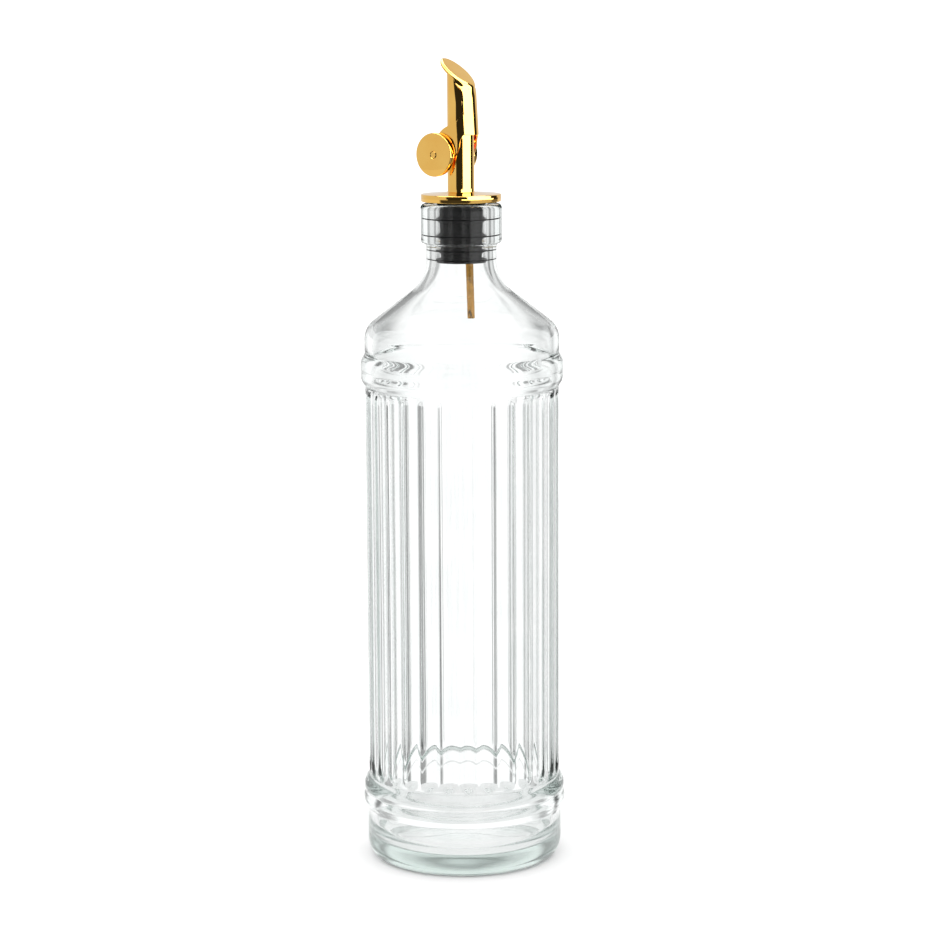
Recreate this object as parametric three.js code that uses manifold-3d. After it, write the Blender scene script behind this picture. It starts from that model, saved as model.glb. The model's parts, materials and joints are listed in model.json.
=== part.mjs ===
import * as THREE from 'three';
import { mergeVertices } from 'three/addons/utils/BufferGeometryUtils.js';
import Module from 'manifold-3d';

// A clear fluted glass oil bottle with a finned rubber stopper in its neck and a metal pourer on top,
// whose weighted flap covers the slanted mouth of the spout.
// Millimetres, +Z up, origin in the middle of the base. The spout pours towards -X, and the flap
// turns about a pivot that runs along Y.

const wasm = await Module();
wasm.setup();

// Bottle, outside
const BASE = {
  contactInner: 30.5, contactOuter: 33.0, radius: 37.2, heelHeight: 7.5,
  puntRise: 2.4, puntEdge: 28.5, puntEdgeRise: 0.8,
};
const LOWER_BEADS = {
  low: 19.9, groove: 25.6, high: 31.8,
  rootLow: 37.2, rootHigh: 36.4, crestLow: 38.7, crestHigh: 38.4, grooveRadius: 38.1,
};
const UPPER_BEADS = {
  low: 181.9, groove: 187.2, high: 193.1,
  rootLow: 36.4, rootHigh: 36.65, crestLow: 38.1, crestHigh: 38.2, grooveRadius: 37.9,
};
const FLUTES = { count: 30, depth: 0.9, land: 0.6, low: 33, high: 181, radius: 36.5, ridgeAngle: 3.4 };
const COLUMNS_PER_FLUTE = 4;
const BARREL = { low: 30.2, high: 183.6, core: 34.4 };
const SHOULDER = {
  radius: 36.65, start: 199.3, corner: 8.5, cornerDegrees: 52, coneTopRadius: 18.5, coneTop: 217.5,
};
const NECK = { radius: 13.2, curveRadius: 13.5, curveHeight: 221.7, start: 228.5, lipStart: 233.9 };
const LIP = { radius: 15.2, underRadius: 14.6, under: 234.8, low: 236.4, high: 249.3, edge: 1.6 };

// Bottle, inside
const CAVITY = {
  floorMiddle: 8.2, floorSlope: 7.6, floorSlopeRadius: 12, floorEdge: 6.8, corner: 8, radius: 33.5,
  shoulderStart: 199.3, coneLowRadius: 32.4, coneLow: 203.2, coneTopRadius: 16.9, coneTop: 215.4,
  neckRadius: 11.85, neckHeight: 221.2,
};
const BORE = { radius: 9.6, low: 229, mouthRadius: 10.4, mouthDepth: 1 };

// Stopper
const STOPPER = {
  low: 228, high: 250.6, topRadius: 8.2, lowRadius: 7.6, finRadius: 9.3,
  footRadius: 9, footTopRadius: 9.2, footHeight: 1.2,
};
const FIN = { heights: [232.6, 238, 244.2], thickness: 0.6, slope: 0.4 };
const LIQUID_HOLE = { radius: 3.1, x: -2.5 };

// Breather tube, leaning out a little on its way down through the stopper
const BREATHER = { outer: 1.4, inner: 0.9, topX: 2.75, top: 254, endX: 4.4, end: 206 };

// Pourer, fixed parts
const FLANGE = { radius: 15, low: 250.9, high: 253.4, crown: 254, hole: 5.3, edge: 0.4 };
const SPOUT = { outer: 5, inner: 4.4, low: 251.2, blankTop: 306 };
const MOUTH_ANGLE = THREE.MathUtils.degToRad(37);
const PIVOT = { x: 0.8, z: 272.4, studRadius: 1.4, studInner: 4.7, studOuter: 5.9 };

// Pourer, flap
const LID = { x: -1.2, halfLength: 6.8, halfWidth: 5.7, thickness: 0.8, topAtAxis: 297.9, edge: 0.2 };
const LID_GAP = 0.3;
const SHELL = {
  inner: 5.4, outer: 6, axisTopX: -0.1, axisTop: 291, lean: THREE.MathUtils.degToRad(3.8),
  below: 30, above: 10, halfSpan: 8,
};
const SHELL_EDGE = {
  foot: 275.4, back: 8, top: 300,
  underLid: [1.8, 295.2], neckIn: [4.1, 292.5], neck: [4.3, 288],
  waistIn: [4.4, 284.6], waist: [3.7, 282.4], shoulderIn: [2.6, 280], shoulder: [-0.6, 279],
  heel: [-0.6, 266.6], heelOut: [2.4, 267.6], cheek: [3.4, 271], footIn: [3.8, 275], footX: 5,
};
const ARM = {
  inner: 5.35, outer: 6, endRadius: 4.4,
  endFrom: THREE.MathUtils.degToRad(130), endTo: THREE.MathUtils.degToRad(285),
  rootTop: [0.9, 279.3], top: [-1.8, 278], topCorner: [-5.1, 276.4], rootLow: [0.9, 267],
};
const WEIGHT = { x: -6.5, z: 268, radius: 8.1, inner: 6.1, outer: 8.4, edge: 0.35 };
const RIVET = { radius: 1.3, inner: 5, outer: 8.5, rim: 8.35, crownRadius: 1.05 };
const PIN_GAP = 0.3;
const RIVET_GAP = 0.2;

// Sides of the round pieces
const BOTTLE_SIDES = 60;
const BORE_SIDES = 48;
const FLANGE_SIDES = 48;
const DISC_SIDES = 40;
const TUBE_SIDES = 36;
const PIN_SIDES = 18;
const WELD = 1e-4;

// How far pieces of one body run into each other, and how far a cutter runs past what it cuts
const OVERLAP = 1;
const CUTTER = 40;

const GLASS = new THREE.MeshStandardMaterial({
  color: '#dfe8e5', roughness: 0.03, transparent: true, opacity: 0.35,
});
const RUBBER = new THREE.MeshStandardMaterial({ color: '#262626', roughness: 0.55 });
const GOLD = new THREE.MeshStandardMaterial({ color: '#ddb35f', roughness: 0.12, metalness: 1 });

const point = (radius, height) => new THREE.Vector2(radius, height);

// Points of an arc in the plane of a profile, angles in degrees from the outward direction.
function arcPoints(centre, radius, fromDegrees, toDegrees, steps) {
  return Array.from({ length: steps + 1 }, (_, i) => {
    const angle = THREE.MathUtils.degToRad(fromDegrees + ((toDegrees - fromDegrees) * i) / steps);
    return point(centre.x + radius * Math.cos(angle), centre.y + radius * Math.sin(angle));
  });
}

// A closed geometry as a solid: seam and pole vertices are welded, and the empty faces at poles go.
function solidOf(geometry) {
  const bare = geometry.clone();
  bare.deleteAttribute('normal');
  bare.deleteAttribute('uv');
  const welded = mergeVertices(bare, WELD);
  const index = welded.index.array;
  const faces = [];
  for (let i = 0; i < index.length; i += 3) {
    const [a, b, c] = [index[i], index[i + 1], index[i + 2]];
    if (a !== b && b !== c && c !== a) faces.push(a, b, c);
  }
  return new wasm.Manifold(new wasm.Mesh({
    numProp: 3,
    vertProperties: Float32Array.from(welded.attributes.position.array),
    triVerts: Uint32Array.from(faces),
  }));
}

function geometryOf(solid) {
  const mesh = solid.getMesh();
  const geometry = new THREE.BufferGeometry();
  geometry.setAttribute('position', new THREE.BufferAttribute(Float32Array.from(mesh.vertProperties), 3));
  geometry.setIndex(new THREE.BufferAttribute(Uint32Array.from(mesh.triVerts), 1));
  geometry.computeVertexNormals();
  return geometry;
}

function meshOf(name, solid, material) {
  const mesh = new THREE.Mesh(geometryOf(solid), material);
  mesh.name = name;
  return mesh;
}

// A profile turned about the vertical axis.
function turnedGeometry(profile, sides) {
  return new THREE.LatheGeometry(profile, sides).rotateX(Math.PI / 2);
}

function turned(profile, sides) {
  return solidOf(turnedGeometry(profile, sides));
}

function ringProfile(inner, outer, low, high) {
  return [point(inner, low), point(outer, low), point(outer, high), point(inner, high), point(inner, low)];
}

// A side-view outline (x along X, y along Z) as a slab between two Y values.
function slab(shape, fromY, toY, curveSegments = 8) {
  const geometry = new THREE.ExtrudeGeometry(shape, {
    depth: toY - fromY, bevelEnabled: false, curveSegments,
  });
  return solidOf(geometry.rotateX(Math.PI / 2).translate(0, toY, 0));
}

// A round pin or disc that lies along Y.
function crossPin(profile, sides, x, z) {
  return solidOf(new THREE.LatheGeometry(profile, sides).translate(x, 0, z));
}

// Two rounded bands with a groove between them: each is part of an ellipse that stands on its root
// radius and passes through the groove.
function doubleBead(beads, steps) {
  const reach = (root, crest) => Math.sqrt(1 - ((beads.grooveRadius - root) / (crest - root)) ** 2);
  const lowReach = reach(beads.rootLow, beads.crestLow);
  const highReach = reach(beads.rootHigh, beads.crestHigh);
  const lowHalf = (beads.groove - beads.low) / (1 + lowReach);
  const highHalf = (beads.high - beads.groove) / (1 + highReach);
  const band = (middle, half, root, crest, fromAngle, toAngle) =>
    Array.from({ length: steps + 1 }, (_, i) => {
      const angle = fromAngle + ((toAngle - fromAngle) * i) / steps;
      return point(root + (crest - root) * Math.cos(angle), middle + half * Math.sin(angle));
    });
  const lowBand = band(
    beads.low + lowHalf, lowHalf, beads.rootLow, beads.crestLow, -Math.PI / 2, Math.asin(lowReach),
  );
  const highBand = band(
    beads.high - highHalf, highHalf, beads.rootHigh, beads.crestHigh, -Math.asin(highReach), Math.PI / 2,
  );
  return [...lowBand, ...highBand.slice(1)];
}

// Radius of the barrel at an angle from the middle line of a flute. A flute is what a round-ended
// rod leaves when it is pressed sideways into the wall.
const pitchAngle = (2 * Math.PI) / FLUTES.count;
const halfChord = FLUTES.radius * Math.sin(pitchAngle / 2) - FLUTES.land / 2;
const rodRadius = (halfChord ** 2 + FLUTES.depth ** 2) / (2 * FLUTES.depth);
const rodDistance = FLUTES.radius + rodRadius - FLUTES.depth;

function fluteRadius(angle, pastEnd) {
  const span = rodRadius ** 2 - pastEnd ** 2 - (rodDistance * Math.sin(angle)) ** 2;
  if (span <= 0) return FLUTES.radius;
  return Math.min(FLUTES.radius, rodDistance * Math.cos(angle) - Math.sqrt(span));
}

function flutedBarrel() {
  const endSteps = [0, 30, 60, 90].map((degrees) => halfChord * Math.cos(THREE.MathUtils.degToRad(degrees)));
  const lowStraight = FLUTES.low + halfChord;
  const highStraight = FLUTES.high - halfChord;
  const rings = [
    ...endSteps.map((past) => lowStraight - past),
    ...endSteps.map((past) => highStraight + past).reverse(),
  ];
  const profile = [
    point(0, BARREL.low),
    point(FLUTES.radius, BARREL.low),
    ...rings.map((height) => point(FLUTES.radius, height)),
    point(FLUTES.radius, BARREL.high),
    point(0, BARREL.high),
  ];
  const geometry = turnedGeometry(profile, FLUTES.count * COLUMNS_PER_FLUTE);
  const position = geometry.attributes.position;
  for (let i = 0; i < position.count; i += 1) {
    const [x, y, z] = [position.getX(i), position.getY(i), position.getZ(i)];
    const radius = Math.hypot(x, y);
    const inFlutes = radius > BARREL.core && z >= FLUTES.low && z <= FLUTES.high;
    if (inFlutes) {
      const turn = (Math.atan2(y, x) / pitchAngle + FLUTES.count) % 1;
      const pastEnd = Math.max(lowStraight - z, z - highStraight, 0);
      const scale = fluteRadius((turn - 0.5) * pitchAngle, pastEnd) / radius;
      position.setXY(i, x * scale, y * scale);
    }
  }
  return solidOf(geometry.rotateZ(THREE.MathUtils.degToRad(FLUTES.ridgeAngle)));
}

// Punt, contact ring, heel and the lower pair of bands.
function bottleBase() {
  const heelDepth = BASE.radius - BASE.contactOuter;
  const heel = [90, 60, 30, 0].map((degrees) => {
    const angle = THREE.MathUtils.degToRad(degrees);
    return point(BASE.contactOuter + heelDepth * Math.cos(angle), BASE.heelHeight * (1 - Math.sin(angle)));
  });
  return turned([
    point(0, BASE.puntRise),
    point(BASE.puntEdge, BASE.puntEdgeRise),
    point(BASE.contactInner, 0),
    ...heel,
    ...doubleBead(LOWER_BEADS, 4),
    point(BARREL.core, LOWER_BEADS.high + OVERLAP),
    point(0, LOWER_BEADS.high + OVERLAP),
  ], BOTTLE_SIDES);
}

// The upper pair of bands, shoulder, neck and lip.
function bottleTop() {
  const cornerMiddle = point(SHOULDER.radius - SHOULDER.corner, SHOULDER.start);
  const lipMiddle = point(LIP.radius - LIP.edge, LIP.high - LIP.edge);
  const neckCurve = new THREE.QuadraticBezierCurve(
    point(SHOULDER.coneTopRadius, SHOULDER.coneTop),
    point(NECK.curveRadius, NECK.curveHeight),
    point(NECK.radius, NECK.start),
  );
  return turned([
    point(0, UPPER_BEADS.low - OVERLAP),
    point(BARREL.core, UPPER_BEADS.low - OVERLAP),
    ...doubleBead(UPPER_BEADS, 4),
    ...arcPoints(cornerMiddle, SHOULDER.corner, 0, SHOULDER.cornerDegrees, 4),
    ...neckCurve.getPoints(4),
    point(NECK.radius, NECK.lipStart),
    point(LIP.underRadius, LIP.under),
    point(LIP.radius, LIP.low),
    ...arcPoints(lipMiddle, LIP.edge, 0, 90, 3),
    point(0, LIP.high),
  ], BOTTLE_SIDES);
}

function bottleCavity() {
  const floorCorner = point(CAVITY.radius - CAVITY.corner, CAVITY.floorEdge + CAVITY.corner);
  return turned([
    point(0, CAVITY.floorMiddle),
    point(CAVITY.floorSlopeRadius, CAVITY.floorSlope),
    ...arcPoints(floorCorner, CAVITY.corner, -90, 0, 4),
    point(CAVITY.radius, CAVITY.shoulderStart),
    point(CAVITY.coneLowRadius, CAVITY.coneLow),
    point(CAVITY.coneTopRadius, CAVITY.coneTop),
    point(CAVITY.neckRadius, CAVITY.neckHeight),
    point(BORE.radius, BORE.low),
    point(BORE.radius, LIP.high - BORE.mouthDepth),
    point(BORE.mouthRadius, LIP.high),
    point(BORE.mouthRadius, LIP.high + OVERLAP),
    point(0, LIP.high + OVERLAP),
  ], BORE_SIDES);
}

function glassBottle() {
  return bottleBase().add(flutedBarrel()).add(bottleTop()).subtract(bottleCavity());
}

// A straight rod on the line of the breather tube, from one height to another.
function breatherRod(radius, low, high) {
  const lean = Math.atan((BREATHER.endX - BREATHER.topX) / (BREATHER.top - BREATHER.end));
  const profile = [point(0, low), point(radius, low), point(radius, high), point(0, high)]
    .map((p) => point(p.x, (p.y - BREATHER.top) / Math.cos(lean)));
  return solidOf(turnedGeometry(profile, PIN_SIDES).rotateY(-lean).translate(BREATHER.topX, 0, BREATHER.top));
}

function breatherTube() {
  return breatherRod(BREATHER.outer, BREATHER.end, BREATHER.top)
    .subtract(breatherRod(BREATHER.inner, BREATHER.end - OVERLAP, BREATHER.top + OVERLAP));
}

// Tapered plug with a foot and thin sealing fins, and a hole each for liquid and for the breather.
function rubberStopper() {
  const core = (height) => THREE.MathUtils.mapLinear(
    height, STOPPER.low, STOPPER.high, STOPPER.lowRadius, STOPPER.topRadius,
  );
  const fin = (height) => {
    const half = FIN.thickness / 2;
    const root = half + FIN.slope;
    return [
      point(core(height - root), height - root),
      point(STOPPER.finRadius, height - half),
      point(STOPPER.finRadius, height + half),
      point(core(height + root), height + root),
    ];
  };
  const footTop = STOPPER.low + STOPPER.footHeight;
  const plug = turned([
    point(0, STOPPER.low),
    point(STOPPER.footRadius, STOPPER.low),
    point(STOPPER.footTopRadius, footTop),
    point(core(footTop + FIN.slope), footTop + FIN.slope),
    ...FIN.heights.flatMap(fin),
    point(STOPPER.topRadius, STOPPER.high),
    point(0, STOPPER.high),
  ], TUBE_SIDES);
  const liquidHole = turned([
    point(0, STOPPER.low - OVERLAP),
    point(LIQUID_HOLE.radius, STOPPER.low - OVERLAP),
    point(LIQUID_HOLE.radius, STOPPER.high + OVERLAP),
    point(0, STOPPER.high + OVERLAP),
  ], PIN_SIDES).translate([LIQUID_HOLE.x, 0, 0]);
  const ventHole = breatherRod(
    BREATHER.outer + PIN_GAP, STOPPER.low - OVERLAP, STOPPER.high + OVERLAP,
  );
  return plug.subtract(liquidHole).subtract(ventHole);
}

function spoutFlange() {
  return turned([
    point(FLANGE.hole, FLANGE.low),
    point(FLANGE.radius - FLANGE.edge, FLANGE.low),
    point(FLANGE.radius, FLANGE.low + FLANGE.edge),
    point(FLANGE.radius, FLANGE.high - FLANGE.edge),
    point(FLANGE.radius - FLANGE.edge, FLANGE.high),
    point(FLANGE.hole, FLANGE.crown),
    point(FLANGE.hole, FLANGE.low),
  ], FLANGE_SIDES);
}

// A box whose lower face is the plane parallel to the lid's top, the given distance below it.
function aboveSlant(below) {
  return solidOf(new THREE.BoxGeometry(CUTTER, CUTTER, CUTTER)
    .translate(0, 0, CUTTER / 2 - below)
    .rotateY(MOUTH_ANGLE)
    .translate(0, 0, LID.topAtAxis));
}

// Straight tube with a slanted mouth and the two pivot studs of the flap.
function spoutTube() {
  const blank = turned(ringProfile(SPOUT.inner, SPOUT.outer, SPOUT.low, SPOUT.blankTop), TUBE_SIDES);
  const stud = (fromY, toY) => crossPin([
    point(0, fromY),
    point(PIVOT.studRadius, fromY),
    point(PIVOT.studRadius, toY),
    point(0, toY),
  ], PIN_SIDES, PIVOT.x, PIVOT.z);
  return blank
    .subtract(aboveSlant(LID.thickness + LID_GAP))
    .add(stud(PIVOT.studInner, PIVOT.studOuter))
    .add(stud(-PIVOT.studOuter, -PIVOT.studInner));
}

// Oval plate that lies on the slanted mouth.
function lidPlate() {
  const shape = new THREE.Shape();
  const along = LID.halfLength / Math.cos(MOUTH_ANGLE) - LID.edge;
  shape.absellipse(0, 0, along, LID.halfWidth - LID.edge, 0, 2 * Math.PI);
  const geometry = new THREE.ExtrudeGeometry(shape, {
    depth: LID.thickness - 2 * LID.edge,
    bevelThickness: LID.edge, bevelSize: LID.edge, bevelSegments: 1, curveSegments: 20,
  });
  return solidOf(geometry
    .translate(LID.x / Math.cos(MOUTH_ANGLE), 0, LID.edge - LID.thickness)
    .rotateY(MOUTH_ANGLE)
    .translate(0, 0, LID.topAtAxis));
}

// Sheet that hugs the back of the spout below the lid: part of a leaning sleeve, cut to a wavy edge.
function flapShell() {
  const sleeve = solidOf(turnedGeometry(ringProfile(
    SHELL.inner, SHELL.outer, -SHELL.below, SHELL.above,
  ), TUBE_SIDES)
    .rotateY(-SHELL.lean)
    .translate(SHELL.axisTopX, 0, SHELL.axisTop));
  const outline = new THREE.Shape();
  outline.moveTo(SHELL_EDGE.back, SHELL_EDGE.foot);
  outline.lineTo(SHELL_EDGE.back, SHELL_EDGE.top);
  outline.lineTo(SHELL_EDGE.underLid[0], SHELL_EDGE.top);
  outline.lineTo(...SHELL_EDGE.underLid);
  outline.quadraticCurveTo(...SHELL_EDGE.neckIn, ...SHELL_EDGE.neck);
  outline.quadraticCurveTo(...SHELL_EDGE.waistIn, ...SHELL_EDGE.waist);
  outline.quadraticCurveTo(...SHELL_EDGE.shoulderIn, ...SHELL_EDGE.shoulder);
  outline.lineTo(...SHELL_EDGE.heel);
  outline.quadraticCurveTo(...SHELL_EDGE.heelOut, ...SHELL_EDGE.cheek);
  outline.quadraticCurveTo(...SHELL_EDGE.footIn, SHELL_EDGE.footX, SHELL_EDGE.foot);
  return sleeve
    .intersect(slab(outline, -SHELL.halfSpan, SHELL.halfSpan))
    .subtract(aboveSlant(LID.thickness / 2));
}

// Flat side arm that runs past the spout and carries a weight at its round end.
function flapArm(fromY, toY) {
  const outline = new THREE.Shape();
  outline.moveTo(...ARM.rootTop);
  outline.lineTo(...ARM.top);
  outline.lineTo(...ARM.topCorner);
  outline.absarc(WEIGHT.x, WEIGHT.z, ARM.endRadius, ARM.endFrom, ARM.endTo, false);
  outline.lineTo(...ARM.rootLow);
  return slab(outline, fromY, toY, 6);
}

function flapSolid() {
  const hole = (radius, x, z) => crossPin([
    point(0, -RIVET.outer),
    point(radius, -RIVET.outer),
    point(radius, RIVET.outer),
    point(0, RIVET.outer),
  ], PIN_SIDES, x, z);
  return flapShell()
    .add(lidPlate())
    .add(flapArm(ARM.inner, ARM.outer))
    .add(flapArm(-ARM.outer, -ARM.inner))
    .subtract(hole(PIVOT.studRadius + PIN_GAP, PIVOT.x, PIVOT.z))
    .subtract(hole(RIVET.radius + RIVET_GAP, WEIGHT.x, WEIGHT.z));
}

// side is +1 or -1 along Y, and the profiles run outwards from the spout.
function weightDisc(side) {
  const profile = [
    point(RIVET.radius + RIVET_GAP, WEIGHT.inner),
    point(WEIGHT.radius - WEIGHT.edge, WEIGHT.inner),
    point(WEIGHT.radius, WEIGHT.inner + WEIGHT.edge),
    point(WEIGHT.radius, WEIGHT.outer - WEIGHT.edge),
    point(WEIGHT.radius - WEIGHT.edge, WEIGHT.outer),
    point(RIVET.radius + RIVET_GAP, WEIGHT.outer),
    point(RIVET.radius + RIVET_GAP, WEIGHT.inner),
  ];
  const disc = crossPin(profile, DISC_SIDES, WEIGHT.x, WEIGHT.z);
  return side > 0 ? disc : disc.mirror([0, 1, 0]);
}

function weightRivet(side) {
  const pin = crossPin([
    point(0, RIVET.inner),
    point(RIVET.radius, RIVET.inner),
    point(RIVET.radius, RIVET.rim),
    point(RIVET.crownRadius, RIVET.outer),
    point(0, RIVET.outer),
  ], PIN_SIDES, WEIGHT.x, WEIGHT.z);
  return side > 0 ? pin : pin.mirror([0, 1, 0]);
}

const group = new THREE.Group();
group.add(meshOf('glass_bottle', glassBottle(), GLASS));
group.add(meshOf('rubber_stopper', rubberStopper(), RUBBER));
group.add(meshOf('breather_tube', breatherTube(), GOLD));
group.add(meshOf('spout_flange', spoutFlange(), GOLD));
group.add(meshOf('spout_tube', spoutTube(), GOLD));
group.add(meshOf('flap', flapSolid(), GOLD));
[['near', -1], ['far', 1]].forEach(([place, side]) => {
  group.add(meshOf(`weight_${place}`, weightDisc(side), GOLD));
  group.add(meshOf(`rivet_${place}`, weightRivet(side), GOLD));
});

export default group;
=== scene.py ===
"""A clear fluted glass oil bottle with a finned rubber stopper and a gold-plated pourer.

Lengths are written in millimetres and become metres where a mesh is made. The bottle stands on
z = 0 with its axis on the origin, the spout pours towards -X and the flap's pivot runs along Y.
"""

import json
import logging
import math
from collections.abc import Callable, Sequence
from dataclasses import dataclass
from enum import Enum

import bmesh
import bpy
import numpy as np
from mathutils import Matrix, Vector, noise

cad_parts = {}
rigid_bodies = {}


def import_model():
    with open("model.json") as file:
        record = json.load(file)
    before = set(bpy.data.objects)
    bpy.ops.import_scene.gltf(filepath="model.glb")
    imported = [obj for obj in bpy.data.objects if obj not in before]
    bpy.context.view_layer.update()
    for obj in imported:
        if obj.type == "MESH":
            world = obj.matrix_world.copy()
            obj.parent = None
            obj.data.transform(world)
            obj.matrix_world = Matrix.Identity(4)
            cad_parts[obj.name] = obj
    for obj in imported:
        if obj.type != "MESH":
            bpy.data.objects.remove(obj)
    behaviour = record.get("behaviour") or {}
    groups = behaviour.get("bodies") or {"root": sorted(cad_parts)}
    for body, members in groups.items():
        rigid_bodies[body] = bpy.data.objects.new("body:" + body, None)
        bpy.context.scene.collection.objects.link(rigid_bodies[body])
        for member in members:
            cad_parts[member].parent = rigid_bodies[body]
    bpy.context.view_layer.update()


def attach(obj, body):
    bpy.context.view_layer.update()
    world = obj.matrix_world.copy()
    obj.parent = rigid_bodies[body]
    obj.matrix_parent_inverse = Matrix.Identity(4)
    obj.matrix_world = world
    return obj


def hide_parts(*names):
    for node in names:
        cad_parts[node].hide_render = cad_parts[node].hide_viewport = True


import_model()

LOG = logging.getLogger("oil_bottle")
MM = 0.001
Point = tuple[float, float]
Colour = tuple[float, float, float, float]


class Body(Enum):
    """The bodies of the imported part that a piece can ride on."""

    BOTTLE = "bottle"
    FLAP = "flap"


class Slot(Enum):
    """The record's material slots."""

    GLASS = "clear_glass"
    RUBBER = "black_rubber"
    GOLD = "gold_metal"


def srgb(code: str) -> Colour:
    """Turns an sRGB hex colour into linear values.

    Args:
        code: Six hex digits, with or without a leading hash.

    Returns:
        Linear red, green and blue, and an alpha of one.
    """
    digits = code.lstrip("#")
    parts = [int(digits[i : i + 2], 16) / 255 for i in (0, 2, 4)]
    linear = [p / 12.92 if p <= 0.04045 else ((p + 0.055) / 1.055) ** 2.4 for p in parts]
    return (linear[0], linear[1], linear[2], 1.0)


def add_node(
    tree: bpy.types.NodeTree, kind: str, inputs: dict | None = None, **settings: object
) -> bpy.types.Node:
    """Adds a node with its settings, values and links.

    Args:
        tree: The node tree that gets the node.
        kind: The node's type name.
        inputs: For each input, by name or number, a value or the socket that feeds it.
        **settings: The node's own properties.

    Returns:
        The new node.
    """
    node = tree.nodes.new(kind)
    for name, value in settings.items():
        setattr(node, name, value)
    for name, value in (inputs or {}).items():
        if isinstance(value, bpy.types.NodeSocket):
            tree.links.new(value, node.inputs[name])
        else:
            node.inputs[name].default_value = value
    return node


def set_ramp(node: bpy.types.Node, stops: Sequence[tuple[float, Colour]]) -> None:
    """Gives a Color Ramp node its stops.

    Args:
        node: The Color Ramp node.
        stops: Position and linear colour of each stop, in rising order.
    """
    elements = node.color_ramp.elements
    while len(elements) < len(stops):
        elements.new(0.5)
    for element, (position, colour) in zip(elements, stops):
        element.position = position
        element.color = colour


def new_material(name: str) -> tuple[bpy.types.Material, bpy.types.NodeTree, bpy.types.Node]:
    """Makes a node material with an empty tree but for its output.

    Args:
        name: The material's name.

    Returns:
        The material, its node tree and its output node.
    """
    material = bpy.data.materials.new(name)
    material.use_nodes = True
    tree = material.node_tree
    tree.nodes.clear()
    return material, tree, tree.nodes.new("ShaderNodeOutputMaterial")


def object_noise(tree: bpy.types.NodeTree, size_mm: float, detail: float) -> bpy.types.Node:
    """Adds a noise texture that is fixed to the object.

    Args:
        tree: The node tree that gets it.
        size_mm: Size of its patches.
        detail: Number of finer layers.

    Returns:
        The noise node.
    """
    coords = add_node(tree, "ShaderNodeTexCoord")
    return add_node(
        tree, "ShaderNodeTexNoise",
        {"Vector": coords.outputs["Object"], "Scale": 1 / (size_mm * MM), "Detail": detail},
    )


def new_object(name: str, bm: bmesh.types.BMesh, material: bpy.types.Material) -> bpy.types.Object:
    """Makes an object of a mesh, gives it its material and links it to the scene.

    Args:
        name: The object's name.
        bm: The mesh, which is freed.
        material: Its material.

    Returns:
        The object.
    """
    mesh = bpy.data.meshes.new(name)
    bm.to_mesh(mesh)
    bm.free()
    mesh.materials.append(material)
    obj = bpy.data.objects.new(name, mesh)
    bpy.context.scene.collection.objects.link(obj)
    return obj


@dataclass(frozen=True)
class PressedGlass:
    """Soda-lime container glass, pressed and blown in a mould.

    Attributes:
        faint: Tint of the surface where the glass is cleanest.
        clear: Tint of the surface elsewhere.
        body: Colour that light takes on in thick glass, from a trace of iron.
        density: Absorption per metre.
        ior: Index of refraction.
        wave_mm: Length of the soft waves that the mould leaves.
        wave_height_mm: Height of those waves.
        stipple_mm: Height up to which the underside is stippled.
        stipple_roughness: Roughness of the underside.
        polish_roughness: Most roughness that the polished walls have.
    """

    faint: str = "#FAFBFB"
    clear: str = "#FFFFFF"
    body: str = "#A4C2B9"
    density: float = 11.0
    ior: float = 1.52
    wave_mm: float = 14.0
    wave_height_mm: float = 0.05
    stipple_mm: float = 3.0
    stipple_roughness: float = 0.2
    polish_roughness: float = 0.012

    def material(self) -> bpy.types.Material:
        """Builds the clear glass.

        Returns:
            The material.
        """
        # Polished by the fire and the mould: sharp highlights, soft waves, green only where it is thick.
        # The underside is stippled, so the light that gathers in the base is soft.
        material, tree, output = new_material("pressed_soda_lime_glass")
        waves = object_noise(tree, self.wave_mm, 1.0)
        tint = add_node(tree, "ShaderNodeValToRGB", {"Fac": waves.outputs["Fac"]})
        set_ramp(tint, [(0.35, srgb(self.faint)), (0.65, srgb(self.clear))])
        coords = add_node(tree, "ShaderNodeTexCoord")
        height = add_node(tree, "ShaderNodeSeparateXYZ", {"Vector": coords.outputs["Object"]})
        stipple = add_node(
            tree, "ShaderNodeMapRange",
            {
                "Value": height.outputs["Z"], "From Min": self.stipple_mm * MM / 2,
                "From Max": self.stipple_mm * MM, "To Min": self.stipple_roughness, "To Max": 0.0,
            },
        )
        polish = add_node(
            tree, "ShaderNodeMapRange",
            {"Value": waves.outputs["Fac"], "To Min": 0.0, "To Max": self.polish_roughness},
        )
        roughness = add_node(
            tree, "ShaderNodeMath", {0: polish.outputs["Result"], 1: stipple.outputs["Result"]},
            operation="MAXIMUM",
        )
        bump = add_node(
            tree, "ShaderNodeBump",
            {"Height": waves.outputs["Fac"], "Strength": 1.0, "Distance": self.wave_height_mm * MM},
        )
        shader = add_node(
            tree, "ShaderNodeBsdfPrincipled",
            {
                "Base Color": tint.outputs["Color"], "Roughness": roughness.outputs["Value"],
                "Normal": bump.outputs["Normal"], "IOR": self.ior, "Transmission Weight": 1.0,
            },
        )
        volume = add_node(
            tree, "ShaderNodeVolumeAbsorption", {"Color": srgb(self.body), "Density": self.density},
        )
        tree.links.new(shader.outputs["BSDF"], output.inputs["Surface"])
        tree.links.new(volume.outputs["Volume"], output.inputs["Volume"])
        return material


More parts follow.
